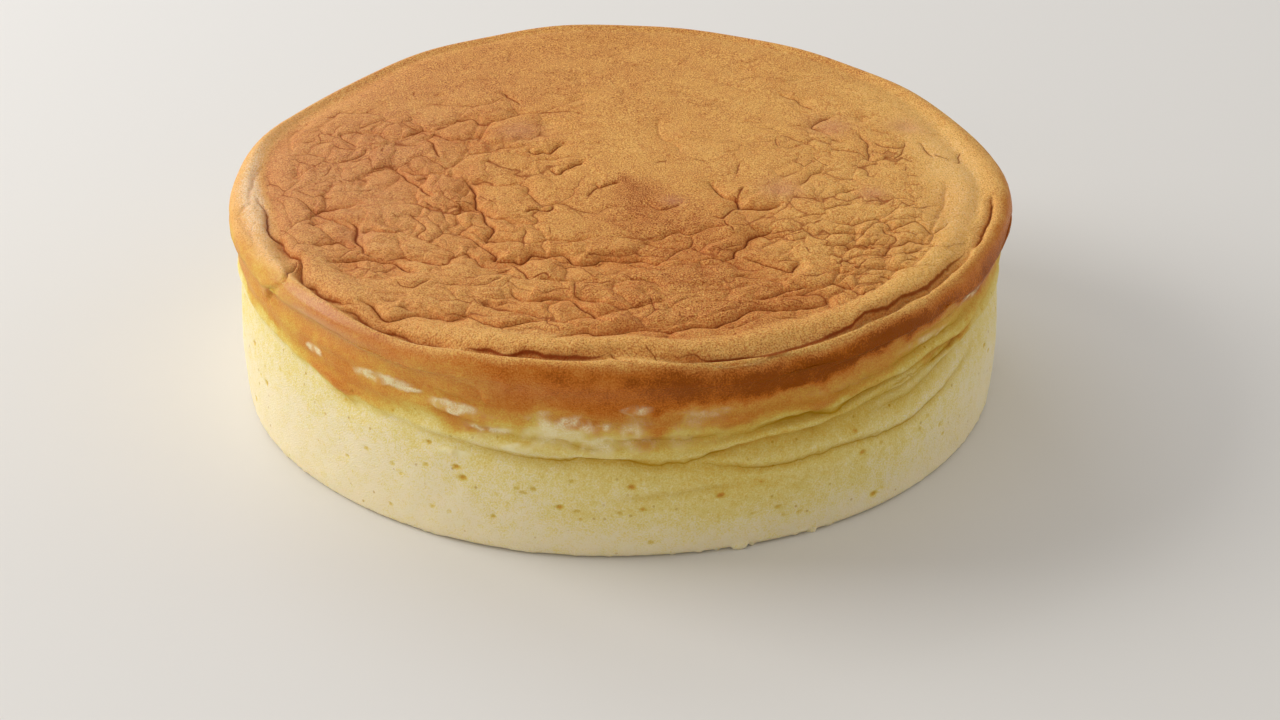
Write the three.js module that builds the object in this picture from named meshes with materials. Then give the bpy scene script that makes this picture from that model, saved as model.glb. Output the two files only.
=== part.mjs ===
// A whole souffle cheesecake (the light, wobbly kind), out of its tin and not yet cut.
//
// Millimetres, +Z up, origin at the middle of the flat underside. Angles run anticlockwise as seen
// from above, from +X, so the front of the cake, where its folds are deepest, is at 270 degrees.
//
// The cake is one piece. Every slice from its axis outwards shows the same run of features: a flat
// underside, the straight wall that the tin left, a belt of folds where the cooling cake sank, the
// rounded rim of the browned skin, the crease along which that rim came away, and the low crown.
import * as THREE from "three";
import { mergeVertices } from "three/addons/utils/BufferGeometryUtils.js";

// Driving dimensions.
const WALL_RADIUS = 110; // the tin's inside radius, less a little shrinkage
const RIM_RADIUS = 112.2; // the rim hangs out over the wall
const RIM_HEIGHT = 61.6;
const CROWN_HEIGHT = 64.2;
const FOOT_ROUND = 2.4; // the rounded bottom edge
const CREASE_RADIUS = 106.3; // the ring crease just inside the rim
const CREASE_DEPTH = 1.8;
const BELT_BOTTOM = 30; // the belt of folds starts at this height
const BELT_TOP = 46;

// How finely the surface is cut up: columns round the cake, points up its edge, rings on its crown.
const COLUMNS = 112;
const EDGE_STEPS = 28;
const CROWN_RINGS = 11;

const FULL_TURN = 360;
const toRadians = THREE.MathUtils.degToRad;
const { smoothstep } = THREE.MathUtils;

// 1 at the centre angle, falling smoothly to 0 about two widths away from it, all in degrees.
function near(angle, centre, width) {
  const off = THREE.MathUtils.euclideanModulo(angle - centre + 180, FULL_TURN) - 180;
  return Math.exp(-((off / width) ** 2));
}

// Slow waves round the cake, each given as [waves in a turn, height in mm, phase in degrees].
function waves(angle, list) {
  return list.reduce((sum, [count, height, phase]) => sum + height * Math.cos(toRadians(count * angle + phase)), 0);
}

// The wall isn't a true circle: it ripples a little and is flatter at the front left.
function wallOffset(angle) {
  return waves(angle, [[2, 0.3, 40], [3, 0.25, 10], [7, 0.15, 0]]) - 0.8 * near(angle, 215, 18);
}

// The rim rises at the back, droops at the back left and at two places in front, and ripples.
function rimLift(angle) {
  const ripple = waves(angle, [[5, 0.3, 60], [11, 0.2, 20], [17, 0.15, 80]]);
  const back = 2.6 * near(angle, 98, 24) - 2.4 * near(angle, 148, 20);
  return ripple + back - 1.4 * near(angle, 236, 12) - 2.4 * near(angle, 292, 12);
}

// The folds are deepest from the front round to the right and fade out on the left and the back.
function foldStrength(angle) {
  return 0.3 + 0.9 * near(angle, 290, 48) + 0.35 * near(angle, 70, 50);
}

// The belt of folds climbs as it runs to the right, and on the far left.
function beltRise(angle) {
  return 7 * near(angle, 345, 40) + 9 * near(angle, 200, 30);
}

// The ring crease wanders in and out, and runs well inside the rim on the left and the right.
function creaseOffset(angle) {
  const wander = waves(angle, [[4, 0.3, 100], [9, 0.4, 30], [14, 0.25, 0]]);
  const front = 1.6 * near(angle, 290, 10) - 1.8 * near(angle, 271, 6);
  return wander + front - 6 * near(angle, 192, 16) - 4 * near(angle, 15, 30);
}

// The edge of one slice, as [radius, height] up from the foot, over the rim and in past the crease.
function edgeKnots(angle) {
  const wall = WALL_RADIUS + wallOffset(angle);
  const rim = RIM_RADIUS + wallOffset(angle) + waves(angle, [[4, 0.4, 50], [9, 0.3, 0]]);
  const rimTop = RIM_HEIGHT + rimLift(angle);
  const fold = foldStrength(angle);
  const belt = BELT_BOTTOM + beltRise(angle);
  const beltSpan = BELT_TOP - BELT_BOTTOM - 0.35 * beltRise(angle);
  const crease = CREASE_RADIUS + creaseOffset(angle);
  const creaseDepth = CREASE_DEPTH * (0.35 + 0.65 * near(angle, 265, 75));
  return [
    [wall - FOOT_ROUND - 0.9, 0],
    [wall - 0.9, FOOT_ROUND],
    [wall, 0.45 * belt],
    [wall - 0.3, 0.8 * belt],
    [wall - 0.6 - 1.1 * fold, belt],
    [wall + 0.2 * fold, belt + 0.22 * beltSpan],
    [wall - 0.8 * fold, belt + 0.42 * beltSpan],
    [wall + 0.7 * fold, belt + 0.68 * beltSpan],
    [wall - 0.4 * fold + 0.4, belt + 0.9 * beltSpan],
    [rim - 0.6, 0.42 * rimTop + 0.58 * (belt + beltSpan)],
    [rim, rimTop - 6.5],
    [rim - 0.9, rimTop - 2.1],
    [0.5 * (rim + crease), rimTop],
    [crease, rimTop - creaseDepth],
    [crease - 3, rimTop - 0.3],
    [crease - 7, 0.6 * rimTop + 0.4 * RIM_HEIGHT + 0.4],
    [crease - 13, 0.3 * rimTop + 0.7 * RIM_HEIGHT + 0.8],
  ].map(([radius, height]) => new THREE.Vector2(radius, height));
}

// Shallow puckers on the crown, strongest over its front and left, gone at its middle and its edge.
function pucker(x, y) {
  const radius = Math.hypot(x, y) / WALL_RADIUS;
  const ring = smoothstep(radius, 0.1, 0.35) * (1 - smoothstep(radius, 0.72, 0.86));
  const front = smoothstep(-y - 0.4 * x, -60, 40);
  const ridges = Math.sin(y / 4.6 + 1.6 * Math.sin(x / 15)) * Math.cos(x / 8 + 1.3 * Math.sin(y / 12));
  return ring * (0.2 + 0.7 * front) * ridges;
}

// One whole slice: the underside's middle, the edge, then the crown's rings in to the axis.
function slicePoints(angle) {
  const edge = new THREE.SplineCurve(edgeKnots(angle)).getPoints(EDGE_STEPS);
  const { x: innerRadius, y: innerHeight } = edge[EDGE_STEPS];
  const crown = [];
  for (let ring = CROWN_RINGS; ring > 0; ring -= 1) {
    const share = ring / (CROWN_RINGS + 1);
    const radius = innerRadius * share;
    const height = THREE.MathUtils.lerp(CROWN_HEIGHT, innerHeight, share ** 2.2);
    const lift = pucker(radius * Math.cos(toRadians(angle)), radius * Math.sin(toRadians(angle)));
    crown.push(new THREE.Vector2(radius, height + lift));
  }
  return [new THREE.Vector2(0, 0), ...edge, ...crown, new THREE.Vector2(0, CROWN_HEIGHT)];
}

// A lathed blank whose columns of vertices are then moved to the slice at each one's own angle.
function cakeGeometry() {
  const blank = new THREE.LatheGeometry(slicePoints(0), COLUMNS);
  blank.rotateX(Math.PI / 2);
  const position = blank.getAttribute("position");
  const rows = slicePoints(0).length;
  for (let column = 0; column <= COLUMNS; column += 1) {
    const angle = (FULL_TURN * (column % COLUMNS)) / COLUMNS;
    slicePoints(angle).forEach(({ x: radius, y: height }, row) => {
      position.setXYZ(
        column * rows + row,
        radius * Math.cos(toRadians(angle)),
        radius * Math.sin(toRadians(angle)),
        height,
      );
    });
  }
  blank.deleteAttribute("normal");
  blank.deleteAttribute("uv");
  const cake = mergeVertices(blank, 1e-3);
  cake.computeBoundingBox();
  const middle = cake.boundingBox.getCenter(new THREE.Vector3());
  cake.translate(-middle.x, -middle.y, 0);
  cake.computeVertexNormals();
  return cake;
}

// The pale crumb's colour stands for the whole piece; the browned skin is a finish, not a piece.
const crumb = new THREE.MeshStandardMaterial({ color: "#e9d38a", roughness: 0.85, metalness: 0 });

const cheesecake = new THREE.Mesh(cakeGeometry(), crumb);
cheesecake.name = "cheesecake";

const cake = new THREE.Group();
cake.add(cheesecake);

export default cake;
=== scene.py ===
import math

import bmesh
import bpy
import numpy as np
from mathutils import Matrix


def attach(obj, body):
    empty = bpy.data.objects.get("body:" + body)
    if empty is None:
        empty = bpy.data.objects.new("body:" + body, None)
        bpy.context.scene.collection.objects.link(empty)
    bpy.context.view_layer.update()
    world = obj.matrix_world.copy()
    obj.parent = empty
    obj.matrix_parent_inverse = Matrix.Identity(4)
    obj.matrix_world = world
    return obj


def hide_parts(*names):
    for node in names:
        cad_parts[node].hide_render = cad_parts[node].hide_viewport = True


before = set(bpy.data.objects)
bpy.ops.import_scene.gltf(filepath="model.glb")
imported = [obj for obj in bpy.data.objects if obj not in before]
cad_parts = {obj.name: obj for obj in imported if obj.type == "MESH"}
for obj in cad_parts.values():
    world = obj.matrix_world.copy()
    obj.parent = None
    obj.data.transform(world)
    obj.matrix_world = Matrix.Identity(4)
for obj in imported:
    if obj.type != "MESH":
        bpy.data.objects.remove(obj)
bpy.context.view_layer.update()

# ------------------------------------------------------------------------------------------------
# The cake: one round of souffle batter, baked slowly in a lined tin standing in hot water. The tin
# leaves the low wall straight. Above it the cake rises, browns and sets, and when it cools it sinks
# back, so that its skin folds under the rim. Sizes are in mm, and angles run anticlockwise from +X.
MM = 0.001
FULL_TURN = 360
WALL_RADIUS = 110.0
RIM_RADIUS = 112.2
RIM_HEIGHT = 61.6
CROWN_HEIGHT = 64.2
FOOT_ROUND = 2.4
CREASE_RADIUS = 106.3
CREASE_DEPTH = 1.8
BELT_BOTTOM = 30.0
BELT_TOP = 46.0
FRONT = 270.0
# The crown falls away from its middle with this power of the distance from it.
CROWN_FALL = 2.2
# How finely the skin is cut up, before its flat places are thinned: the pace between two rows, the
# columns of faces in a full turn, and how often the first sector is doubled to fill that turn.
GRAIN = 0.38
COLUMNS = 1504
DOUBLINGS = 5
UNDERSIDE_ROWS = 14
TRIAL_STEPS = 4000
TOUCHING = 0.001 * MM
MOST_TRIANGLES = 196000


def near(angle, centre, width):
    """1 at the centre angle, falling smoothly to 0 about two widths away from it, in degrees."""
    off = (angle - centre + FULL_TURN / 2) % FULL_TURN - FULL_TURN / 2
    return np.exp(-((off / width) ** 2))


def waves(angle, *terms):
    """Slow waves round the cake, each given as waves in a turn, height in mm and phase."""
    return sum(height * np.cos(np.radians(count * angle + phase)) for count, height, phase in terms)


def smooth(value, low, high):
    """0 below low, 1 above high, and a soft step between them."""
    share = np.clip((value - low) / (high - low), 0, 1)
    return share * share * (3 - 2 * share)


def rim_height(angle):
    """The rim rises at the back, droops at the back left and twice in front, and ripples."""
    ripple = waves(angle, (5, 0.3, 60), (11, 0.2, 20), (17, 0.15, 80))
    back = 2.6 * near(angle, 98, 24) - 2.4 * near(angle, 148, 20)
    return RIM_HEIGHT + ripple + back - 1.4 * near(angle, 236, 12) - 2.4 * near(angle, 292, 12)


def crease_radius(angle):
    """The ring crease wanders in and out, and runs well inside the rim on the left and right."""
    wander = waves(angle, (4, 0.3, 100), (9, 0.4, 30), (14, 0.25, 0))
    front = 1.6 * near(angle, 290, 10) - 1.8 * near(angle, 271, 6)
    return CREASE_RADIUS + wander + front - 6 * near(angle, 192, 16) - 4 * near(angle, 15, 30)


def edge_knots(angle):
    """Radius and height of the points that the edge of one slice runs through, foot to crown."""
    ripple = waves(angle, (2, 0.3, 40), (3, 0.25, 10), (7, 0.15, 0)) - 0.8 * near(angle, 215, 18)
    wall = WALL_RADIUS + ripple
    rim = RIM_RADIUS + ripple + waves(angle, (4, 0.4, 50), (9, 0.3, 0))
    top = rim_height(angle)
    fold = 0.3 + 0.9 * near(angle, 290, 48) + 0.35 * near(angle, 70, 50)
    rise = 7 * near(angle, 345, 40) + 9 * near(angle, 200, 30)
    belt = BELT_BOTTOM + rise
    span = BELT_TOP - BELT_BOTTOM - 0.35 * rise
    crease = crease_radius(angle)
    depth = CREASE_DEPTH * (0.35 + 0.65 * near(angle, 265, 75))
    knots = (
        (wall - FOOT_ROUND - 0.9, 0 * wall),
        (wall - 0.9, FOOT_ROUND + 0 * wall),
        (wall, 0.45 * belt),
        (wall - 0.3, 0.8 * belt),
        (wall - 0.6 - 1.1 * fold, belt),
        (wall + 0.2 * fold, belt + 0.22 * span),
        (wall - 0.8 * fold, belt + 0.42 * span),
        (wall + 0.7 * fold, belt + 0.68 * span),
        (wall - 0.4 * fold + 0.4, belt + 0.9 * span),
        (rim - 0.6, 0.42 * top + 0.58 * (belt + span)),
        (rim, top - 6.5),
        (rim - 0.9, top - 2.1),
        (0.5 * (rim + crease), top),
        (crease, top - depth),
        (crease - 3, top - 0.3),
        (crease - 7, 0.6 * top + 0.4 * RIM_HEIGHT + 0.4),
        (crease - 13, 0.3 * top + 0.7 * RIM_HEIGHT + 0.8),
    )
    return np.array([radius for radius, _ in knots]), np.array([height for _, height in knots])


def between(before, start, end, after, part):
    """Where a smooth curve through four points is, a part of the way from the second to the third."""
    leave = 0.5 * (end - before)
    arrive = 0.5 * (after - start)
    cubic = (2 * start - 2 * end + leave + arrive) * part**3
    square = (3 * end - 3 * start - 2 * leave - arrive) * part**2
    return cubic + square + leave * part + start


def along_edge(angle, share):
    """Radius and height at a share of the way from the foot, 0, to the start of the crown, 1."""
    knots = edge_knots(angle)
    last = len(knots[0]) - 1
    place = np.clip(share, 0, 1) * last
    knot = np.minimum(place.astype(int), last - 1)
    column = np.arange(angle.size)
    around = [np.clip(knot + step, 0, last) for step in (-1, 0, 1, 2)]
    return [between(*(axis[row, column] for row in around), place - knot) for axis in knots]


def slice_point(angle, run):
    """Radius and height on a slice. Run is -1 to 0 out along the underside, 0 to 1 up the edge and
    over the crease, and 1 to 2 in across the crown."""
    radius, height = along_edge(angle, run)
    under = np.clip(1 + run, 0, 1)
    inward = np.clip(2 - run, 0, 1)
    crown = CROWN_HEIGHT + (height - CROWN_HEIGHT) * inward**CROWN_FALL
    radius = radius * under * inward
    return radius, np.where(run > 1, crown, np.where(run < 0, 0, height))


# The rows of the slice lie a grain apart all the way, so that any crack can be cut anywhere.
trial = np.linspace(0, 1, TRIAL_STEPS)
trial_radius, trial_height = along_edge(np.full(trial.size, FRONT), trial)
paces = np.hypot(np.diff(trial_radius), np.diff(trial_height))
walked = np.concatenate(([0], np.cumsum(paces)))
edge_rows = np.interp(np.arange(0, walked[-1], GRAIN), walked, trial)
crown_rows = np.linspace(1, 2, int(trial_radius[-1] / GRAIN))
runs = np.concatenate((np.linspace(-1, 0, UNDERSIDE_ROWS)[:-1], edge_rows, crown_rows))

spun = bmesh.new()
run_layer = spun.verts.layers.float.new("run")
last_vert = None
for row_run, row_radius, row_height in zip(runs, *slice_point(np.zeros(runs.size), runs)):
    vert = spun.verts.new((row_radius * MM, 0, row_height * MM))
    vert[run_layer] = row_run
    if last_vert:
        spun.edges.new((last_vert, vert))
    last_vert = vert
sector = math.tau / 2**DOUBLINGS
bmesh.ops.spin(
    spun,
    geom=spun.verts[:] + spun.edges[:],
    cent=(0, 0, 0),
    axis=(0, 0, 1),
    angle=sector,
    steps=COLUMNS // 2**DOUBLINGS,
)
for doubling in range(DOUBLINGS):
    copied = bmesh.ops.duplicate(spun, geom=spun.verts[:] + spun.edges[:] + spun.faces[:])["geom"]
    turned = [part for part in copied if isinstance(part, bmesh.types.BMVert)]
    bmesh.ops.rotate(spun, verts=turned, matrix=Matrix.Rotation(sector * 2**doubling, 3, "Z"))
bmesh.ops.remove_doubles(spun, verts=spun.verts, dist=TOUCHING)
bmesh.ops.recalc_face_normals(spun, faces=spun.faces)
blank = bpy.data.meshes.new("cake_blank")
spun.to_mesh(blank)
spun.free()

# Every vertex is then moved to the slice at its own angle. Run stays with it, and says where on the
# slice it is.
count = len(blank.vertices)
spot = np.empty(count * 3)
blank.vertices.foreach_get("co", spot)
spot = spot.reshape(-1, 3) / MM
run = np.empty(count)
blank.attributes["run"].data.foreach_get("value", run)
angle = np.degrees(np.arctan2(spot[:, 1], spot[:, 0])) % FULL_TURN
radius, height = slice_point(angle, run)
spot = np.stack((radius * np.cos(np.radians(angle)), radius * np.sin(np.radians(angle)), height), axis=1)
middle = (spot.max(axis=0) + spot.min(axis=0)) / 2
spot[:, :2] -= middle[:2]
blank.vertices.foreach_set("co", (spot * MM).ravel())
blank.update()
outward = np.empty(count * 3)
blank.vertex_normals.foreach_get("vector", outward)
outward = outward.reshape(-1, 3)
x, y, z = spot.T

# ------------------------------------------------------------------------------------------------
# The browned crown: the skin sets while the sponge still rises, so it cracks, and as the cake sinks
# the skin between the cracks puffs into lobes. Cracks are drawn as (x, y) points seen from above.
DEEP_CRACKS = (
    ((-65, 8), (-63, 4), (-61, 0), (-58, -4), (-56, -9), (-53, -14)),
    ((-44, 1), (-44, -2), (-43, -7), (-41, -12), (-41, -19), (-39, -22), (-38, -27), (-36, -31),
     (-35, -36), (-38, -42)),
    ((-47, -34), (-44, -36), (-41, -39), (-39, -42), (-37, -45), (-34, -49), (-34, -52), (-29, -52),
     (-27, -53), (-24, -50), (-20, -50), (-15, -50), (-12, -54), (-7, -54), (-5, -52), (1, -53), (5, -52),
     (8, -54), (13, -58)),
    ((-30, -53), (-29, -56), (-28, -59), (-24, -65)),
    ((-24, -64), (-21, -62), (-19, -64)),
    ((-77, -27), (-74, -30), (-74, -34), (-74, -39), (-72, -43), (-71, -48)),
    ((-81, -52), (-79, -51), (-74, -50), (-70, -50), (-66, -51), (-62, -52), (-60, -55), (-56, -59)),
    ((-29, -69), (-28, -73), (-25, -76), (-20, -75), (-15, -75), (-12, -77), (-10, -81), (-7, -84),
     (-6, -86), (-2, -90)),
    ((-11, -66), (-12, -70), (-12, -75)),
    ((-17, -99), (-15, -96), (-12, -94), (-8, -93), (-5, -94), (0, -93), (4, -92), (10, -92), (15, -92),
     (19, -90), (25, -90), (28, -87), (31, -85), (34, -82), (38, -80), (45, -80), (48, -79), (53, -77),
     (55, -76), (58, -72), (60, -71)),
    ((26, -6), (28, -10), (30, -14), (33, -16), (34, -20), (34, -21), (41, -21), (47, -18)),
    ((34, -21), (32, -23), (30, -26), (29, -29), (26, -28)),
    ((29, -30), (30, -34), (32, -38)),
    ((36, -9), (34, -14), (33, -19)),
    ((43, -33), (41, -35), (37, -38), (35, -41), (34, -45), (32, -47), (31, -51), (28, -54)),
    ((-27, -26), (-24, -24), (-20, -24), (-19, -20)),
    ((-8, -7), (-6, -10), (-3, -7), (0, -5)),
    ((-6, -10), (-8, -13), (-9, -17)),
    ((-21, 4), (-18, 0), (-16, 3), (-12, 7), (-10, 9)),
    ((-27, 18), (-26, 15), (-23, 16), (-21, 15), (-19, 19), (-16, 21)),
    ((-58, 27), (-56, 23), (-54, 17), (-53, 12)),
    ((-37, 59), (-35, 56), (-31, 52), (-30, 49)),
    ((35, -76), (39, -75), (42, -73), (44, -70), (48, -69), (50, -68), (54, -68)),
    ((33, -51), (36, -53), (40, -55), (43, -57), (47, -58), (48, -56), (50, -53)),
    ((-71, -74), (-67, -77), (-65, -80), (-62, -83), (-58, -83), (-54, -81), (-50, -83), (-45, -85),
     (-40, -82)),
)
FINE_CRACKS = (
    ((-57, -15), (-54, -19), (-51, -21), (-50, -25), (-49, -29)),
    ((-48, -19), (-44, -17), (-41, -19)),
    ((-49, -24), (-46, -21)),
    ((-40, -12), (-38, -16), (-36, -20)),
    ((-59, -24), (-58, -27), (-56, -31), (-55, -34), (-57, -37), (-55, -40)),
    ((-64, -24), (-63, -27)),
    ((-60, -64), (-59, -67), (-56, -69), (-54, -67), (-51, -64)),
    ((-43, -68), (-40, -67), (-36, -67), (-34, -65), (-32, -62)),
    ((-44, -45), (-40, -45)),
    ((-40, -74), (-38, -78)),
    ((-10, -67), (-7, -67), (-4, -67), (-2, -65)),
    ((-10, -57), (-9, -61), (-6, -64)),
    ((-19, -82), (-19, -88), (-16, -91), (-15, -94)),
    ((-26, -34), (-27, -41), (-26, -49)),
    ((-19, -34), (-19, -39)),
    ((0, -61), (2, -63), (4, -65), (8, -66)),
    ((12, -62), (14, -64)),
    ((28, -64), (30, -67), (32, -63)),
    ((8, -41), (11, -41), (15, -38), (17, -37), (19, -39), (22, -37), (24, -34)),
    ((19, -39), (20, -43), (19, -46), (16, -49), (14, -51), (12, -53), (10, -56)),
    ((25, -46), (28, -48), (32, -47)),
    ((14, -80), (16, -78), (19, -75)),
    ((9, -82), (13, -82)),
    ((16, -82), (17, -86), (21, -86)),
    ((6, -88), (8, -85), (9, -81), (8, -74)),
    ((46, -37), (50, -37), (52, -35)),
    ((49, -61), (51, -63), (54, -62), (57, -60)),
    ((61, -51), (61, -57)),
    ((64, -55), (65, -57), (67, -54), (69, -51)),
    ((73, -49), (74, -46), (75, -42), (77, -38), (74, -34), (74, -31)),
    ((57, -40), (59, -42)),
    ((54, -32), (57, -29)),
    ((51, -45), (53, -50)),
    ((63, -11), (65, -10), (68, -9)),
    ((57, -23), (60, -21), (63, -19), (67, -18)),
    ((8, -19), (11, -24), (16, -22), (17, -20)),
    ((34, 7), (34, 2), (33, -2)),
    ((21, 9), (25, 7)),
    ((9, 6), (13, 8)),
    ((46, 25), (46, 21), (47, 18)),
    ((47, 59), (50, 55), (53, 54), (55, 50), (58, 46)),
    ((63, 42), (60, 39), (57, 34), (60, 31), (62, 27)),
    ((70, 30), (72, 24), (73, 18), (72, 10)),
    ((74, 25), (77, 22), (82, 21), (83, 25)),
    ((82, 21), (82, 18), (80, 12)),
    ((88, 25), (90, 19), (92, 14)),
    ((92, 17), (96, 13)),
    ((100, 21), (99, 14), (97, 12)),
    ((56, 12), (58, 8), (60, 6)),
    ((51, -8), (54, -3), (56, 0), (59, 3)),
    ((83, 8), (83, 4)),
    ((-83, 33), (-82, 27), (-79, 23), (-78, 21)),
    ((-90, 33), (-89, 26)),
    ((-75, 21), (-75, 16), (-79, 12), (-83, 12)),
    ((-70, 19), (-70, 16)),
    ((-63, 61), (-63, 57)),
    ((-85, 1), (-84, 6), (-83, 9)),
    ((-81, 0), (-80, -4)),
    ((-77, -9), (-72, -9), (-71, -7)),
    ((-3, -103), (0, -106), (2, -110), (6, -111)),
    ((6, -101), (9, -104), (10, -107)),
)
SOFT_VALLEYS = (
    ((-42, 46), (-43, 38), (-44, 27), (-45, 21), (-46, 15), (-48, 9), (-49, 0)),
    ((11, 38), (12, 25), (16, 20), (17, 13)),
    ((94, -3), (93, -10), (92, -18), (90, -24), (88, -32), (86, -36), (84, -40), (82, -42)),
    ((-104, 12), (-106, 4), (-106, -7), (-105, -15), (-107, -17), (-107, -25), (-103, -38), (-100, -47)),
    ((-94, 45), (-98, 36), (-98, 26), (-97, 18)),
)
# Where the rim came away from the crown: a ring of deep creases, with gaps between them.
RING_CREASES = (
    ((-42, -98.5), (-31, -102.5), (-20, -105), (-8, -106), (-2, -104.5)),
    ((11, -104), (17, -105.5), (21, -104.5), (26, -105), (38, -101.5), (48, -97), (62, -86.5), (75, -75),
     (84.5, -65), (93.5, -51), (98, -41)),
)
OUTER_CREASES = (
    ((-77, -75), (-72, -79.5), (-68, -83), (-61, -88), (-55, -91.5), (-42, -98.5)),
    ((97, -43), (101, -34), (104.5, -22), (105.5, -10)),
    ((-104, -10), (-102, -16), (-100, -21), (-99, -29), (-98, -33), (-96, -37), (-93, -43), (-91, -47),
     (-88, -50), (-88, -55), (-87, -59), (-84, -64), (-81, -69), (-76, -73), (-72, -76), (-68, -78)),
    ((-89, -49), (-89.5, -52), (-91, -57), (-92.5, -62), (-93.5, -66)),
)
# Small sunken spots, as x, y, width and depth.
DIMPLES = (
    (-67, 28, 2.5, 0.8), (-55, 57, 2, 0.6), (-32, 44, 2, 0.7), (-21, 36, 2.5, 0.8), (4, -30, 1.5, 0.6),
    (72, 40, 2, 0.6), (85, 36, 3, 0.7), (95, 38, 3, 0.5), (55, 52, 2, 0.6), (60, 32, 2, 0.5),
    (-13, 52, 3, 0.8), (-12, 68, 3, 0.6), (14, 80, 4, 0.6), (36, 76, 4, 0.5), (55, 70, 3.5, 0.5),
    (7, -72, 1.6, 0.9), (11, -71, 1.4, 0.8), (65, -10, 2, 1.0), (46, -10, 4, 0.5),
)
# Each kind of crack: how deep it is, how far its soft shoulders reach, how dark its painted shade is
# and how far inward of its floor that painted shade is darkest.
CRACK_KINDS = (
    (DEEP_CRACKS, 2.2, 3.4, 0.85, 0.0),
    (FINE_CRACKS, 1.4, 2.8, 0.7, 0.0),
    (SOFT_VALLEYS, 0.9, 6.0, 0.15, 0.0),
    (RING_CREASES, 2.3, 1.6, 1.0, 1.0),
    (OUTER_CREASES, 1.9, 1.6, 0.75, 0.2),
)
# A crack's cut is this wide, its painted shade line reaches this far, and its ends fade out over this
# share.
CUT_WIDTH = 0.55
DARK_REACH = 1.8
FADE = 0.16
LINE_STEPS = 4
# The lobe behind a crack stands steeper than the one in front, because the cake slid as it sank.
BEHIND = (-0.4, 0.92)
# Small chance cracks, their kind, the angles they lie between and the length of one step of each.
CHANCE_CRACKS = 110
CHANCE_KIND = (0.7, 2.0, 0.45, 0.0)
CHANCE_ARC = (20, 230)
CHANCE_REACH = 100
CHANCE_STEP = 2.4
# The arc in front where the crown rolls over behind the ring crease, as an angle and a width.
ROLL_ARC = (285, 62)
# The crown's skin begins at this place on the run up the edge.
CROWN_RUN = 0.66
# Chance numbers are kept in a table, and primes scatter neighbouring cells over it.
TABLE_SIZE = 4096
PRIMES = (73856093, 19349663, 83492791)


def lumps(points, size, seed):
    """Smooth chance heights from -1 to 1 at points in mm, with lumps of about the given size."""
    table = np.random.default_rng(seed).uniform(-1, 1, TABLE_SIZE)
    cell = np.floor(points / size).astype(np.int64)
    part = points / size - cell
    part = part * part * (3 - 2 * part)
    total = np.zeros(len(points))
    for corner in np.ndindex(2, 2, 2):
        weight = np.prod(np.where(corner, part, 1 - part), axis=1)
        key = (cell + corner) @ np.array(PRIMES)
        total += weight * table[key % TABLE_SIZE]
    return total


def puffs(u, v, size, seed):
    """Puffs of about the given size: the distance in mm from the nearest edge, positive on the side
    that stands higher, each puff's own chance height from -1 to 1, and how far, from 0 to 1, the edge
    runs across the cake rather than from front to back."""
    jitter_u, jitter_v, tall = np.random.default_rng(seed).uniform(0, 1, (3, TABLE_SIZE))
    tall = 2 * tall - 1
    cell_u = np.floor(u / size).astype(np.int64)
    cell_v = np.floor(v / size).astype(np.int64)
    nearest = np.stack((np.full(u.shape, np.inf), 0 * u, 0 * u, 0 * u))
    second = nearest
    for step_u, step_v in np.ndindex(3, 3):
        side_u = cell_u + step_u - 1
        side_v = cell_v + step_v - 1
        key = (side_u * PRIMES[0] + side_v * PRIMES[1]) % TABLE_SIZE
        off_u = side_u + jitter_u[key] - u / size
        off_v = side_v + jitter_v[key] - v / size
        site = np.stack((np.hypot(off_u, off_v), off_u, off_v, tall[key]))
        first = site[0] < nearest[0]
        second = np.where(first, nearest, np.where(site[0] < second[0], site, second))
        nearest = np.where(first, site, nearest)
    away, gap_u, gap_v, drop = second - nearest
    return away * size / -2 * np.sign(drop), nearest[3], np.abs(gap_v) / np.hypot(gap_u, gap_v)


def smooth_line(points):
    """More points along a smooth curve through the drawn ones."""
    knots = np.array(points, float)
    padded = np.vstack((knots[0], knots, knots[-1]))
    line = []
    for four in zip(padded, padded[1:], padded[2:], padded[3:]):
        line += [between(*four, step / LINE_STEPS) for step in range(LINE_STEPS)]
    return np.vstack((line, knots[-1]))


def beside(line, u, v):
    """Distance from a line, the offset from it, how far along it the nearest point is, from 0 to 1,
    and the side of the line, 1 or -1."""
    lengths = np.hypot(*np.diff(line, axis=0).T)
    passed = np.concatenate(([0], np.cumsum(lengths)))
    nearest = np.full(u.shape, np.inf)
    found = np.zeros((4,) + u.shape)
    for start, end, length, before in zip(line, line[1:], lengths, passed):
        if length == 0:
            continue
        du, dv = end - start
        along = np.clip(((u - start[0]) * du + (v - start[1]) * dv) / length**2, 0, 1)
        off_u = u - start[0] - along * du
        off_v = v - start[1] - along * dv
        away = np.hypot(off_u, off_v)
        closer = away < nearest
        nearest = np.where(closer, away, nearest)
        passed_share = (before + along * length) / passed[-1]
        hand = np.sign(du * off_v - dv * off_u)
        found = np.where(closer, (off_u, off_v, passed_share, hand), found)
    return nearest, *found


def close_to(line, u, v, reach):
    """Which points lie within reach of the box round a line."""
    low = line.min(axis=0) - reach
    high = line.max(axis=0) + reach
    return (u > low[0]) & (u < high[0]) & (v > low[1]) & (v < high[1])


on_crown = run > CROWN_RUN
top = spot[on_crown]
top_x, top_y, _ = top.T
top_radius = np.hypot(top_x, top_y)
top_angle = angle[on_crown]
warp_x = top_x + 0.9 * lumps(top, 6, 11) + 0.4 * lumps(top, 2.2, 12)
warp_y = top_y + 0.9 * lumps(top, 6, 13) + 0.4 * lumps(top, 2.2, 14)

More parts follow.
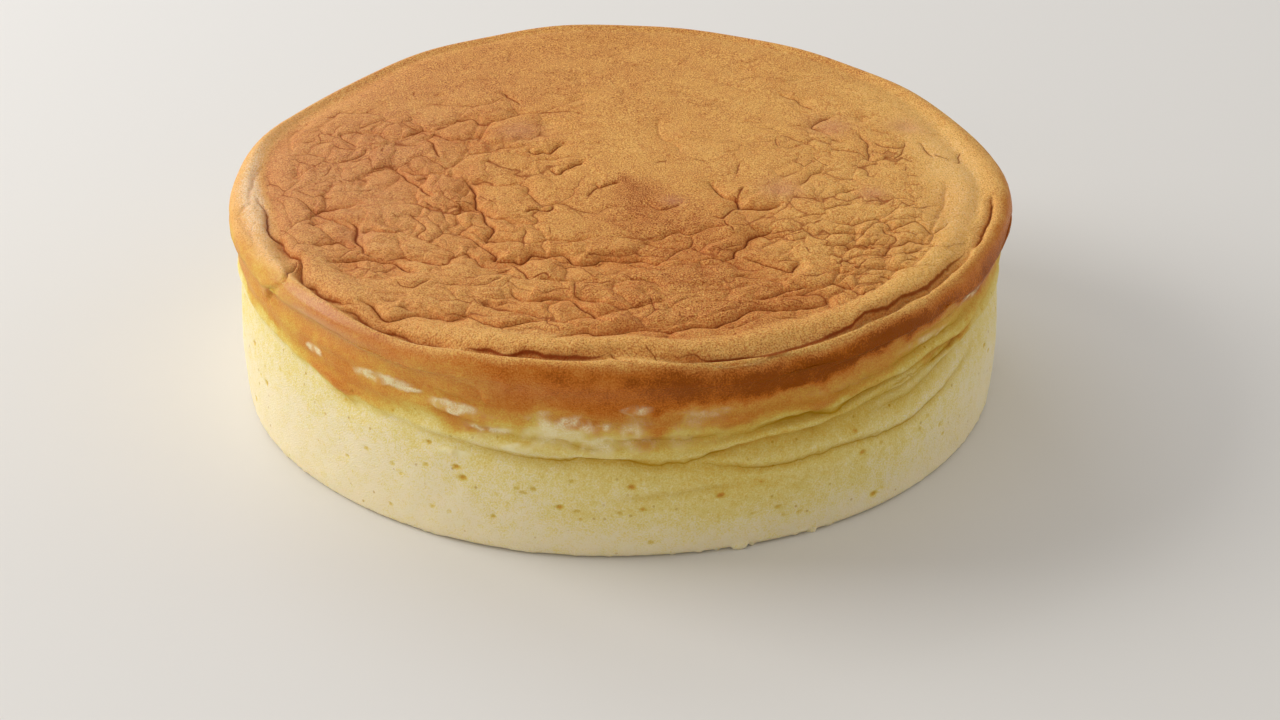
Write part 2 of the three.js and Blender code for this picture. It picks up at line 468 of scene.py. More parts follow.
# The small chance cracks lie where the skin is calmer, over the back and the left.
chance = np.random.default_rng(3)
small_cracks = []
for _ in range(CHANCE_CRACKS):
    start_turn = math.radians(chance.uniform(*CHANCE_ARC))
    far = CHANCE_REACH * math.sqrt(chance.uniform(0.06, 0.9))
    heading = chance.normal(0, 0.5)
    points = [(far * math.cos(start_turn), far * math.sin(start_turn))]
    for _ in range(chance.integers(2, 5)):
        heading += chance.normal(0, 0.5)
        at_x, at_y = points[-1]
        points.append((at_x + CHANCE_STEP * math.cos(heading), at_y + CHANCE_STEP * math.sin(heading)))
    small_cracks.append(points)

cut = np.zeros(len(top))
puff = np.zeros(len(top))
crease_dark = np.zeros(len(top))
crease_off = np.full(len(top), DARK_REACH)


def darken(part, off, darkness):
    """Keeps, at each place, the darkest painted shade of a crack there and the signed distance from it.
    """
    weight = darkness * np.exp(-((off / DARK_REACH) ** 2))
    darker = weight > crease_dark[part]
    crease_dark[part] = np.where(darker, weight, crease_dark[part])
    crease_off[part] = np.where(darker, off, crease_off[part])


for lines, depth, shoulder, darkness, inward in CRACK_KINDS + ((small_cracks, *CHANCE_KIND),):
    for points in lines:
        line = smooth_line(points)
        size = smooth(np.hypot(*np.diff(line, axis=0).T).sum(), -4, 34)
        part = np.flatnonzero(close_to(line, warp_x, warp_y, 4 * shoulder))
        away, off_x, off_y, share, hand = beside(line, warp_x[part], warp_y[part])
        end = np.clip(np.minimum(share, 1 - share) / FADE, 0, 1) ** 0.6
        behind = (off_x * BEHIND[0] + off_y * BEHIND[1]) / np.maximum(away, 0.01)
        sharp = np.exp(-((away / CUT_WIDTH) ** 2))
        soft = np.exp(-away / (size * shoulder * (1.05 - 0.4 * behind)))
        deep = depth * size * (0.12 + 0.88 * end)
        cut[part] = np.maximum(cut[part], deep * (0.36 * sharp + 0.64 * soft))
        swollen = np.exp(-(((away - 1.3 * shoulder) / shoulder) ** 2)) * smooth(behind, -0.3, 0.8)
        puff[part] = np.maximum(puff[part], 0.25 * deep * swollen)
        darken(part, away * hand - inward, darkness * end)

# Between the drawn cracks the skin is puckered into puffs: broad ones on the left and in front, a
# fine net on the right, and hardly any over the middle and the back.
stretch = (np.maximum(top_radius, 1) / WALL_RADIUS) ** 0.5
net = np.stack((warp_x * stretch, warp_y * stretch, 0 * warp_x), axis=1)
net[:, 0] += 1.8 * lumps(top, 8, 15) + 0.8 * lumps(top, 3, 17)
net[:, 1] += 1.8 * lumps(top, 8, 16) + 0.8 * lumps(top, 3, 18)
right = smooth(top_x, 25, 65) * smooth(-top_y, -60, -20)
right = right * (1 - smooth(top_radius, 82, 90) * near(top_angle, 12, 42))
left = smooth(-top_x, 0, 35) * smooth(-top_y, -70, -15)
front = smooth(-top_y, 10, 50)
busy = np.maximum(left, front)
from_crease = top_radius - crease_radius(top_angle)
calm_roll = (0.65 + 0.3 * near(top_angle, *ROLL_ARC)) * smooth(from_crease, -11, -7)
inside = (1 - calm_roll) * (1 - 0.9 * smooth(from_crease, -1.5, 0.5))
# Each kind of puff: its size, its height, how dark the painted shade at its edges is, how far its rounded
# edge reaches and the seed of its chance numbers.
PUFFS = (
    (13.0, 0.08 + 1.4 * busy + 0.15 * right, 0.7, 5.6, 21),
    (8.5, 0.02 + 0.55 * busy + 0.1 * right, 0.65, 3.4, 24),
    (6.0, 0.04 + 0.24 * busy + 0.5 * right, 0.65, 2.4, 22),
    (3.6, 0.01 + 0.06 * busy + 0.13 * right, 0.5, 1.1, 23),
)
everywhere = np.arange(len(top))
clear = 1 - 0.75 * np.clip(crease_dark, 0, 1)
for size, tall, darkness, shoulder, seed in PUFFS:
    off, height, across = puffs(net[:, 0], net[:, 1], size, seed)
    edge = np.abs(off)
    whole = smooth(lumps(top, 1.3 * size, seed + 5), -0.65, 0.2)
    whole = whole * (0.72 + 0.28 * smooth(across, 0.3, 0.85))
    dome = (1 - np.clip(edge / shoulder, 0, 1)) ** 2.5
    tall = tall * inside * clear
    puff += 0.3 * tall * height * (1 - np.exp(-edge / 0.8))
    cut = cut + tall * whole * (0.75 * dome + 0.2 * np.exp(-((edge / CUT_WIDTH) ** 2)))
    darken(everywhere, off, darkness * whole * smooth(tall, 0.06, 0.4))
# Soft valleys wind between the puffs, where a slow noise passes through zero.
billow = np.abs(lumps(net * (0.8, 1.25, 1), 8, 31)) * 5
valleys = 0.42 * (0.15 + 0.85 * busy) * clear * inside * np.exp(-billow / 2.2)
cut = cut + valleys * smooth(lumps(top, 11, 32), -0.7, 0.3)

# The crown's broad swelling, the roll behind the ring crease, and the rim that drooped in front.
relief = np.zeros(count)
swell = 0.55 * lumps(top, 24, 31) + 0.3 * lumps(top, 11, 32) + 0.12 * lumps(top, 5, 33)
swell = swell * (0.35 + 0.65 * np.maximum(left, front)) * (1 - smooth(top_radius, 96, 104))
roll = np.exp(-(((from_crease + 4.6) / 3.2) ** 2))
swell += 1.3 * roll * near(top_angle, *ROLL_ARC)
drooped = np.exp(-(((from_crease - 3.2) / 2.2) ** 2))
swell -= 0.9 * drooped * near(top_angle, 292, 52)
for spot_x, spot_y, width, depth in DIMPLES:
    swell -= depth * np.exp(-((top_x - spot_x) ** 2 + (top_y - spot_y) ** 2) / width**2)
on_top = smooth(run[on_crown], 0.67, 0.75)
relief[on_crown] = (swell + puff - cut) * on_top
# Painted shade: the dark lines of the cracks and of the puffs' edges, and where each line lies.
crease = np.zeros(count)
crease[on_crown] = crease_dark * on_top
crease_at = np.full(count, DARK_REACH)
crease_at[on_crown] = crease_off
# Painted warm shade: the deeper the cut, the redder the skin is painted, partly for a redder bake there.
warm_shade_and_bake = np.zeros(count)
warm_shade_and_bake[on_crown] = np.clip(cut / 1.9, 0, 1) * on_top
pucker = np.zeros(count)
pucker[on_crown] = np.clip(0.25 + 0.6 * busy + 0.6 * right, 0, 1) * on_top

# ------------------------------------------------------------------------------------------------
# The side: pale sponge that stood against the lined tin. Below the rim the skin sagged into folds,
# each with a lip that hangs over a hollow. Folds are drawn as (angle, height) points.
FOLD_START = 200
SIDE_RADIUS = 110.5
# The side's skin runs from the first of these places on the run to the last. It fades into the
# crown's from the second on.
SIDE_RUN = (0.02, 0.62, 0.72)
FOLDS = (
    (((215, 61), (213, 58), (210.5, 55), (209, 52), (209, 48)), 1.2),
    (((223, 36), (226, 34.5), (230, 33)), 0.7),
    (((240, 33.5), (244, 33), (250, 31), (258, 29.5), (265, 30.5), (270, 30), (276, 29), (281, 29.5),
      (285, 31), (290, 33), (295, 33.5), (300, 33), (305, 34.5), (310, 36), (315, 37), (322, 39),
      (332, 43)), 1.0),
    (((258.5, 35.6), (261.8, 36.6), (265.1, 34.9), (269.6, 34)), 0.6),
    (((243.5, 42.7), (246, 40.2), (249.6, 38.8), (250.6, 37)), 0.5),
    (((247.6, 51.5), (250.8, 50.1), (251.4, 45.3), (253.8, 43.5)), 0.7),
    (((244.3, 47.5), (247.9, 46.1), (250.7, 45)), 0.6),
    (((254.6, 50.6), (255.6, 51.6), (256.6, 53.3)), 0.7),
    (((259.6, 46.8), (261.2, 49.2), (263.8, 51.1), (266.4, 50.9)), 0.6),
    (((268.7, 46.3), (271.3, 44.9), (274.8, 43.8), (276.8, 43.6)), 0.7),
    (((271.6, 59.3), (274.5, 57), (277.1, 56.3), (278.7, 55.4)), 0.6),
    (((280, 35), (285, 36), (290, 37), (295, 38), (299, 38), (302, 36.5), (306, 38.5), (311, 40),
      (315, 40.5), (320, 42), (325, 42.5), (330, 42.5), (335, 43), (345, 46)), 1.3),
    (((274, 29), (278, 28.5), (285, 27), (290, 25.5), (296, 25), (301, 25), (307, 24.5), (312, 24),
      (317, 24.5), (321, 26), (327, 28), (338, 33)), 0.9),
    (((303, 33.5), (308, 34), (315, 35.5), (320, 38), (327, 40), (338, 45)), 0.9),
    (((294, 47.5), (296, 47), (300, 45)), 0.8),
    (((298, 50), (300, 50), (307, 52), (313, 53), (320, 54)), 0.8),
    (((320, 56), (322, 56), (328, 53), (333, 52), (340, 52)), 0.9),
    (((268, 19), (270, 19), (275, 20), (285, 20.5), (290, 20.5)), 0.4),
    (((308, 31), (316, 32), (325, 35), (334, 39)), 0.6),
    (((300, 36), (308, 36.5), (316, 38.5), (324, 40.5), (332, 42.5), (340, 46)), 0.7),
    (((292, 43), (300, 42.5), (308, 44), (318, 46), (328, 47), (338, 49)), 0.7),
    (((310, 47), (318, 49.5), (326, 50), (336, 50.5), (346, 51)), 0.6),
    (((246, 38), (252, 37), (258, 36), (264, 36.5)), 0.4),
    (((268, 37), (274, 36), (281, 36.5), (287, 38.5)), 0.7),
)
# Chance folds go on round the back. They start at this angle, and none crosses the seam.
BACK_FOLDS = 11
BACK_START = 345
BACK_ARC = 200
SEAM_GAP = 5
# The lower edge of the browned skin, as (angle, height) points.
BROWN_EDGE = (
    (205, 45), (210, 45), (215, 43), (222, 40), (230, 40), (236, 40.5), (240, 42), (245, 45.5),
    (250, 44.5), (254, 43.3), (257, 43.8), (260, 45.8), (264, 45), (267, 44.6), (270, 46), (272.5, 47.4),
    (274.5, 46), (276, 43.2), (278, 44.6), (281, 46.2), (287, 45.6), (295, 46), (300, 48), (306, 49.5),
    (312, 50.5), (318, 52.3), (325, 53), (331, 50), (337, 48.5), (348, 50), (360, 50), (380, 48),
    (400, 50), (420, 47), (440, 46), (460, 48), (480, 45), (500, 47), (520, 46), (540, 47), (552, 46),
    (560, 45),
)
# Pale places where skin came away with the lining, as angle, height, half width and half height.
PEELED = (
    (221, 45, 2.0, 1.6), (235, 46, 5.0, 1.9), (239, 44.6, 3.0, 1.0), (246.5, 43, 3.6, 1.8),
    (252.5, 38, 3.0, 1.7), (263, 40, 4.0, 4.2), (269, 40, 4.0, 3.2), (272.7, 46.8, 2.2, 2.0),
    (258, 43, 1.6, 0.8), (284, 44, 3.0, 1.2), (246.5, 28.5, 2.6, 1.2), (256, 33.5, 3.0, 1.4),
    (334, 51, 5.0, 2.4), (302, 44.5, 6.0, 1.3), (319, 48, 6.0, 1.6),
)
# Streaks of golden skin on the pale sponge, as angle, height, half width and half height.
GOLDEN = (
    (246.5, 40, 4.0, 2.6), (250, 37, 4.0, 1.2), (275, 40, 2.4, 3.8), (264.8, 43, 2.5, 1.4),
    (288, 41, 6.0, 2.0), (327, 42, 8.0, 2.0), (225, 38, 5.0, 2.0), (300, 42, 6.0, 2.0),
)
# Spots of painted pinkish sheen on the crown, as x, y and width.
SHEEN_SPOTS = ((46, -10, 6), (15, -19, 3), (62, 34, 6), (-74, -36, 9), (72, -12, 4), (-30, 30, 7), (85, 36, 5))
# Bubbles that burst against the lining leave small holes, at these angles and heights.
PINHOLES = (
    (237.5, 17.5), (257, 20), (262, 16.5), (264, 25), (264.7, 15.5), (248, 21.5), (256, 21),
    (258.5, 21.5), (247, 24), (227, 33), (242.5, 30), (272, 23), (270.3, 15.5), (273.5, 16.5), (285, 18),
    (291, 20.7), (293.5, 11.5), (310, 6.5), (325, 17), (307.5, 20.5),
)
CHANCE_PINHOLES = 60
# Where round the cake each part of the finish lies, as its middle angle and its width in degrees.
LOWER_WALL_SHADE_ARC = (290, 32)
BROWN_AND_SHADOW_ARC = (320, 44)
BROAD_BAND_ARC = (2, 38)
LEFT_RIM_ARC = (180, 28)
BACK_RIM_ARC = (130, 45)
FRONT_LIP_ARC = (272, 50)
SPLIT_ARC = (209, 7)
GLOSS_ARC = (223, 15)
FAINT_GLOSS_ARC = (262, 20)
SHEEN_ARC = (180, 52)
VALLEY_ARC = (182, 28)
SHADED_ARC = (262, 22)
GOLD_AND_SHADE_ARC = (310, 34)
SPONGY_ARC = (266, 17)
CALM_ARC = (300, 26)
UNDERSIDE_BAKE = 0.06

on_side = (run > SIDE_RUN[0]) & (run < SIDE_RUN[2])
side = spot[on_side]
level = side[:, 2]
side_turn = (angle[on_side] - FOLD_START) % FULL_TURN
side_s = np.radians(side_turn) * SIDE_RADIUS + 0.8 * lumps(side, 9, 41)
side_z = level + 0.7 * lumps(side, 12, 42) + 0.45 * lumps(side, 3.5, 43) + 0.2 * lumps(side, 1.6, 44)


def round_the_side(at_turn):
    """Millimetres round the wall from where the folds are counted, for an angle."""
    return math.radians((at_turn - FOLD_START) % FULL_TURN) * SIDE_RADIUS


chance = np.random.default_rng(7)
folds = list(FOLDS)
for number in range(BACK_FOLDS):
    start = BACK_START + BACK_ARC * number / BACK_FOLDS + chance.uniform(-6, 6)
    length = chance.uniform(24, 55)
    low = chance.uniform(27, 46)
    lean = chance.uniform(-5, 5)
    bow = chance.uniform(-2.5, 2.5)
    reach = min(length, FOLD_START + FULL_TURN - SEAM_GAP - start)
    points = [
        (start + reach * step, low + lean * step + bow * math.sin(math.pi * step))
        for step in np.linspace(0, 1, 6)
    ]
    folds.append((points, chance.uniform(0.5, 1.1)))

sag = np.zeros(len(side))
ridges = np.zeros(len(side))
fold_dark = np.zeros(len(side))
fold_off = np.full(len(side), DARK_REACH)
shade = np.zeros(len(side))
for points, depth in folds:
    line = smooth_line([(round_the_side(at_turn), at_level) for at_turn, at_level in points])
    part = np.flatnonzero(close_to(line, side_s, side_z, 12))
    away, _, over, share, _ = beside(line, side_s[part], side_z[part])
    end = np.clip(np.minimum(share, 1 - share) / 0.25, 0, 1) ** 0.8
    hollow = np.where(over > 0, np.exp(-((away / 0.8) ** 2)), np.exp(-away / 1.6))
    lip = np.where(over > 0, np.exp(-(((away - 2.2) / 1.9) ** 2)), 0)
    sag[part] += depth * end * (0.6 * lip - 0.75 * hollow)
    ridges[part] = np.maximum(ridges[part], min(depth, 1) * end * lip)
    shade[part] = np.maximum(shade[part], depth * end * np.exp(-((away / 1.3) ** 2)))
    weight = 0.75 * min(depth, 1) * end * np.exp(-((away / DARK_REACH) ** 2))
    darker = weight > fold_dark[part]
    fold_dark[part] = np.where(darker, weight, fold_dark[part])
    fold_off[part] = np.where(darker, np.copysign(away, over), fold_off[part])

holes = [(*place, 0.52 + 0.11 * (number % 3)) for number, place in enumerate(PINHOLES)]
for _ in range(CHANCE_PINHOLES):
    holes.append((chance.uniform(-20, 220), chance.uniform(4, 34), chance.uniform(0.45, 0.75)))
for _ in range(CHANCE_PINHOLES // 3):
    holes.append((chance.uniform(220, 340), chance.uniform(4, 28), chance.uniform(0.45, 0.6)))
pits = np.zeros(len(side))
for at_turn, at_level, width in holes:
    off_s = np.abs(side_s - round_the_side(at_turn))
    off_z = np.abs(side_z - at_level)
    part = np.flatnonzero((off_s < 4) & (off_z < 4))
    bowl = np.exp(-(((off_s[part] / 1.5) ** 2 + off_z[part] ** 2) / width**2) ** 1.5)
    pits[part] = np.maximum(pits[part], 1.5 * width**2 * bowl)

# The wall is uneven, the film rolls in soft waves on the left, the belt drapes between its folds, and
# torn crumbs stick out at the foot.
uneven = 0.28 * lumps(side, 22, 51) + 0.16 * lumps(side, 7, 52) + 0.09 * lumps(side, 2.8, 56)
film_roll = 0.9 * np.exp(-(((level - 57.5) / 2.4) ** 2)) - 0.8 * np.exp(-(((level - 52.5) / 2.4) ** 2))
film_roll += 0.5 * np.exp(-(((level - 48.5) / 2.0) ** 2))
uneven += film_roll * near(angle[on_side], 222, 22)
belt = smooth(level, 22, 34) * (1 - smooth(level, 56, 61))
drape = lumps(side * (0.45, 0.45, 1), 3.4, 53) * 0.22 + lumps(side * (0.4, 0.4, 1), 7, 54) * 0.4
crumbs = (1 - smooth(level, 0.8, 2.6)) * smooth(level, -0.5, 0.3) * smooth(lumps(side, 2.4, 55), 0.1, 0.8)
ragged = 0.3 + 1.2 * near(angle[on_side], 293, 9)
keep = 1 - smooth(run[on_side], *SIDE_RUN[1:])
relief[on_side] += (sag + uneven + belt * drape - 0.5 * pits) * keep * smooth(level, 0.2, 2.5)
relief[on_side] += crumbs * ragged
below_crown = run[on_side] < CROWN_RUN
# Painted shade: dark lines painted along the fold creases on the pale sponge.
folded = on_side & (run < CROWN_RUN)
crease[folded] = (fold_dark * keep)[below_crown]
crease_at[folded] = fold_off[below_crown]
shaded_hollows = np.zeros(count)
shaded_hollows[on_side] = np.clip(shade * keep, 0, 1.5)
lit_fold_lips = np.zeros(count)
lit_fold_lips[on_side] = ridges * keep
pitted = np.zeros(count)
pitted[on_side] = pits

# How far each place is baked: 0 is pale sponge, 0.4 golden, 0.7 brown and 1 the darkest brown. Above
# the browned skin's wandering edge it bakes from golden to brown.
turn = (angle - FOLD_START) % FULL_TURN + FOLD_START
brown_edge = np.interp(turn, *np.array(BROWN_EDGE).T)
wander = 2.0 * lumps(spot, 14, 61) + 1.6 * lumps(spot, 5, 62) + 0.9 * lumps(spot, 2, 63)
wander += 0.9 * lumps(spot * (1, 1, 0.3), 3.2, 71) + 0.8 * lumps(spot, 1.2, 79)
above = z - brown_edge + wander
golden_reach = 5 + 4 * near(angle, 238, 22) + 8 * near(angle, 325, 40)
# The sponge is more golden higher up the wall. Low on the front right it is painted darker and more
# golden, as painted shade where the wall turns away from the light.
skin = 0.08 * smooth(z, 16, 34) + 0.19 * near(angle, *LOWER_WALL_SHADE_ARC) * smooth(z, 0, 20)
skin += 0.32 * smooth(above, -golden_reach, 0.5)
film = 0.3 - (0.2 * near(angle, 205, 52) + 0.1 * near(angle, 260, 25)) * (1 - smooth(run, 0.6, 0.72))
skin += film * smooth(above, -1.2, 2.2)
# Under the rim at the front right the film is browner, partly a darker bake and partly painted shadow
# where the rim hangs over it.
skin += 0.28 * smooth(above, -1, 3) * near(angle, *BROWN_AND_SHADOW_ARC) * (1 - smooth(run, 0.63, 0.7))
mottled = 0.09 * lumps(spot, 9, 72) + 0.08 * lumps(spot, 3.5, 73) + 0.04 * lumps(spot, 1.5, 74)
skin += mottled * smooth(above, -1, 3) * (1 - smooth(run, CROWN_RUN, SIDE_RUN[2]))
# The crown is lighter on its broad right band and the rim at the back; the rim at the left is lighter,
# partly a paler bake and partly painted light; the roll and the lip in front are painted light.
flat_radius = np.hypot(x, y)
past_crease = flat_radius - crease_radius(angle)
lightness = 0.08 * x / WALL_RADIUS - 0.07 * y / WALL_RADIUS + 0.05
broad_band = smooth(flat_radius, 82, 94) * (1 - smooth(flat_radius, 102, 107))
broad_band *= near(angle, *BROAD_BAND_ARC)
left_rim = smooth(past_crease, -1, 3) * near(angle, *LEFT_RIM_ARC)
left_rim *= 1 - 0.55 * smooth(flat_radius, 107, 112)
back_rim = smooth(flat_radius, 102, 107) * near(angle, *BACK_RIM_ARC)
film_edge = 0.63 + 0.03 * near(angle, 255, 45) + 0.04 * near(angle, 222, 20) + 0.05 * near(angle, 345, 30)
frayed_run = run + 0.015 * lumps(spot, 6, 68) + 0.01 * lumps(spot, 2, 78)
crown_share = smooth(frayed_run, film_edge, film_edge + 0.07)
skin -= crown_share * (lightness + 0.17 * broad_band)
skin -= (0.68 * left_rim + 0.1 * back_rim) * smooth(run, 0.55, 0.75)
# Painted light: the roll and the lip in front are painted lighter, for the light on their faces.
painted_lit_roll = np.exp(-(((past_crease + 4) / 4.5) ** 2)) * near(angle, *ROLL_ARC)
lip = smooth(past_crease, -1, 1.5) * near(angle, *FRONT_LIP_ARC)
skin -= (0.2 * painted_lit_roll + 0.16 * lip) * crown_share
skin += 0.04 * np.clip(relief, -1.4, 1.0) * crown_share
skin += (0.035 * lumps(spot, 26, 64) + 0.025 * lumps(spot, 9, 65)) * smooth(skin, 0.2, 0.5)
# On the pale sponge the hollows are painted more golden, as painted shade, the pinholes are more golden,
# and the lips of the folds are painted paler, as painted highlight.
pale = 1 - smooth(skin, 0.3, 0.6)
skin += 0.07 * near(angle, *SHADED_ARC) * smooth(z, 31, 36) * pale
skin += (0.08 * np.clip(shaded_hollows, 0, 1) + 0.45 * pitted - 0.07 * lit_fold_lips) * pale
torn = 2.0 * lumps(spot, 4, 69) + 1.2 * lumps(spot, 1.8, 70)


def out_of(patch, ragged_turn, ragged_level):
    """How far out of a patch each place is, squared: 1 at its edge, which is more or less ragged."""
    at_turn, at_level, half_turn, half_height = patch
    off_turn = (turn - at_turn + ragged_turn * torn) / half_turn
    return off_turn**2 + ((z - at_level + ragged_level * wander) / half_height) ** 2


for patch in GOLDEN:
    skin += 0.35 * np.exp(-out_of(patch, 1.0, 0.8)) * pale
# A painted pinkish sheen over the left of the crown and on a few sunken spots, as painted highlight
# where the skin catches the light.
painted_sheen = 0.55 * near(angle, *SHEEN_ARC) * smooth(flat_radius, 20, 75) * (1 - 0.85 * left_rim) * crown_share
for spot_x, spot_y, width in SHEEN_SPOTS:
    off = ((x - spot_x) ** 2 + (y - spot_y) ** 2) / width**2
    painted_sheen = np.maximum(painted_sheen, 0.75 * np.exp(-off) * crown_share)
# The valley just inside the rim on the left is deep and dark, so its skin is painted a warmer orange
# there, as painted shade.
valley = np.exp(-(((past_crease - 0.5) / 3.0) ** 2)) * near(angle, *VALLEY_ARC)
warm_shade_and_bake = np.maximum(warm_shade_and_bake, 0.4 * valley * crown_share)
# Where the skin still clings to a rounded crest it shines.
shine = near(turn, *GLOSS_ARC) * np.exp(-(((z - 56) / 4.5) ** 2))
shine += 0.35 * near(turn, *FAINT_GLOSS_ARC) * np.exp(-(((z - 52) / 3) ** 2))
shine = np.clip(shine, 0, 1) * (run < 0.75)
crease = np.where(run < CROWN_RUN, crease * pale, crease)
# The rim split at the front left, and paler sponge shows in the notch.
notch = near(turn, *SPLIT_ARC) * smooth(run, 0.52, 0.6) * (1 - smooth(run, 0.74, 0.8))
skin -= 0.16 * notch
# Old gold in the folds, as painted shade, and in the pinholes. Over the wall towards the right it is
# partly the belt's own golden colour and partly painted warm shade, kept off the painted highlit fold
# lips.
gold_and_shade = np.clip(0.5 * shaded_hollows + 0.6 * pitted, 0, 1) * pale
gold_and_shade += 0.65 * near(angle, *GOLD_AND_SHADE_ARC) * smooth(z, 20, 40) * pale * (1 - 0.7 * lit_fold_lips)
# Where the skin peeled off, the open sponge is paler and a little proud and rough.
peel = np.zeros(count)
spongy = near(angle, *SPONGY_ARC) * smooth(z, 31, 35) * (1 - smooth(above, -2.5, -0.5))
for patch in PEELED:
    peel = np.maximum(peel, 1 - smooth(out_of(patch, 0.3, 0.25), 0.3, 1.6))
peel *= 1 - 0.75 * near(turn, *CALM_ARC)
peel = np.maximum(peel, 0.8 * spongy * smooth(lumps(spot, 6, 75) + 0.4 * torn, -0.9, 0.4))
relief += (0.25 + 0.2 * lumps(spot, 1.6, 76) + 0.25 * lumps(spot, 3.5, 77)) * peel * (run < 0.6)
under = (run < 0) | (z < 0.01)
relief[under] = 0
skin[under] = UNDERSIDE_BAKE

formed = spot + outward * relief[:, None]
formed[:, 2] = np.maximum(formed[:, 2], 0)
blank.vertices.foreach_set("co", (formed * MM).ravel())
patchy = smooth(lumps(spot, 1.6, 66) + 0.8 * lumps(spot, 4, 67), -0.9, 0.5)
peel *= 0.25 + 0.75 * patchy
# What the finish below reads at each place.
painted = {
    "bake": skin,
    "crease": crease,
    "crease_at": crease_at,
    "warm_shade_and_bake": warm_shade_and_bake,
    "pucker": pucker,
    "gold_and_shade": gold_and_shade,
    "peel": peel,
    "painted_sheen": painted_sheen,
    "crown": crown_share,
    "shine": shine,
}
for name, values in painted.items():
    layer = blank.attributes.new(name, "FLOAT", "POINT")
    layer.data.foreach_set("value", values.astype(np.float32))
blank.update()

# The fine blank is thinned to what the cracks and folds need: flat places lose most of their faces.
draft = bpy.data.objects.new("cake_draft", blank)
bpy.context.scene.collection.objects.link(draft)
thin = draft.modifiers.new("thin", "DECIMATE")
thin.ratio = MOST_TRIANGLES / (2 * COLUMNS * runs.size)
thin.use_collapse_triangulate = True
evaluated = draft.evaluated_get(bpy.context.evaluated_depsgraph_get())
cake_mesh = bpy.data.meshes.new_from_object(evaluated)
cake_mesh.name = "souffle_cheesecake"
bpy.data.objects.remove(draft)
cake_mesh.shade_smooth()
cake = bpy.data.objects.new("souffle_cheesecake", cake_mesh)
bpy.context.scene.collection.objects.link(cake)

# ------------------------------------------------------------------------------------------------
# Baked souffle sponge: whipped egg white and cream cheese, steamed pale inside and browned on top.
# The crumb is matt and lets a little light through; the skin is a finer, darker and smoother film.


def linear(code):
    """A colour from its sRGB hex code, as the linear values that shaders take."""
    parts = [int(code[place : place + 2], 16) / 255 for place in (1, 3, 5)]
    return [part / 12.92 if part <= 0.04045 else ((part + 0.055) / 1.055) ** 2.4 for part in parts] + [1]


def add(tree, kind, inputs=None, **settings):
    """Adds one node with its settings, and links or sets its inputs. Returns the node."""
    node = tree.nodes.new(kind)
    for name, value in settings.items():
        setattr(node, name, value)
    for name, value in (inputs or {}).items():
        if isinstance(value, bpy.types.NodeSocket):
            tree.links.new(value, node.inputs[name])
        else:
            node.inputs[name].default_value = value
    return node


# On the wall the skin is a smooth film, deep orange where it is thick. On the crown it is dry and
# matt, and a duller brown. Each list gives how far baked, from 0 to 1, and the colour there.
WALL_SHADES = (
    (0.0, "#f4e5c0"),
    (0.12, "#eedb8e"),
    (0.26, "#e3c662"),
    (0.42, "#dca548"),
    (0.6, "#d48a3a"),
    (0.78, "#c8701e"),
    (1.0, "#984c00"),
)
CROWN_SHADES = (
    (0.0, "#ffdfb2"),
    (0.3, "#f4bf74"),
    (0.5, "#edb866"),
    (0.6, "#e0a759"),
    (0.68, "#d8984f"),
    (0.76, "#d18c4b"),
    (0.85, "#c47a3d"),
    (1.0, "#8e4818"),
)
# The sizes of the patterns in mm. The real grain is finer still, too fine to show from here.
PORE = 0.45
GRAIN_SIZE = 0.22
BLOTCH = 9.0
MOTTLE = 2.6
SPECK = 3.2
WRINKLE = 5.0
# How far each pattern moves the shade along its list.
BLOTCHED = 0.15
MOTTLED = 0.24
GRAINED = 0.18
SPECKLED = 0.36
# How deep the fine bump is and how far light reaches into the sponge, in mm.
BUMP_DEPTH = 0.35
LIGHT_REACH = 2.5
# The sockets of a colour mix.
COLOUR_A = 6
COLOUR_B = 7
COLOUR_OUT = 2

sponge = bpy.data.materials.new("baked_souffle_sponge")
sponge.use_nodes = True
tree = sponge.node_tree
tree.nodes.clear()
here = add(tree, "ShaderNodeTexCoord").outputs["Object"]
read = {}
for name in painted:
    read[name] = add(tree, "ShaderNodeAttribute", attribute_name=name).outputs["Fac"]
browned = add(
    tree,
    "ShaderNodeMapRange",
    {"Value": read["bake"], "From Min": 0.3, "From Max": 0.6},
    interpolation_type="SMOOTHSTEP",
).outputs["Result"]
browned = add(tree, "ShaderNodeMath", {0: browned, 1: read["crown"]}, operation="MAXIMUM").outputs[0]
unbrowned = add(tree, "ShaderNodeMath", {0: 1.0, 1: browned}, operation="SUBTRACT").outputs[0]

noises = []
for size, detail, bent in (
    (BLOTCH, 4.0, 0.0),
    (MOTTLE, 4.0, 0.0),
    (2 * GRAIN_SIZE, 3.0, 0.0),
    (WRINKLE, 2.0, 0.6),
):
    inputs = {"Vector": here, "Scale": 1 / (size * MM), "Detail": detail, "Distortion": bent}
    noises.append(add(tree, "ShaderNodeTexNoise", inputs).outputs["Fac"])
blotch, mottle, grain, wrinkles = noises
specks = add(tree, "ShaderNodeTexVoronoi", {"Vector": here, "Scale": 1 / (SPECK * MM)})
pores = add(tree, "ShaderNodeTexVoronoi", {"Vector": here, "Scale": 1 / (2.2 * PORE * MM)})

blotchy = add(tree, "ShaderNodeMath", {0: blotch, 1: 0.5}, operation="SUBTRACT").outputs[0]
mottled = add(tree, "ShaderNodeMath", {0: mottle, 1: 0.5}, operation="SUBTRACT").outputs[0]
grainy = add(
    tree,
    "ShaderNodeMapRange",
    {"Value": grain, "From Min": 0.32, "From Max": 0.68, "To Min": -0.5, "To Max": 0.5},
).outputs["Result"]
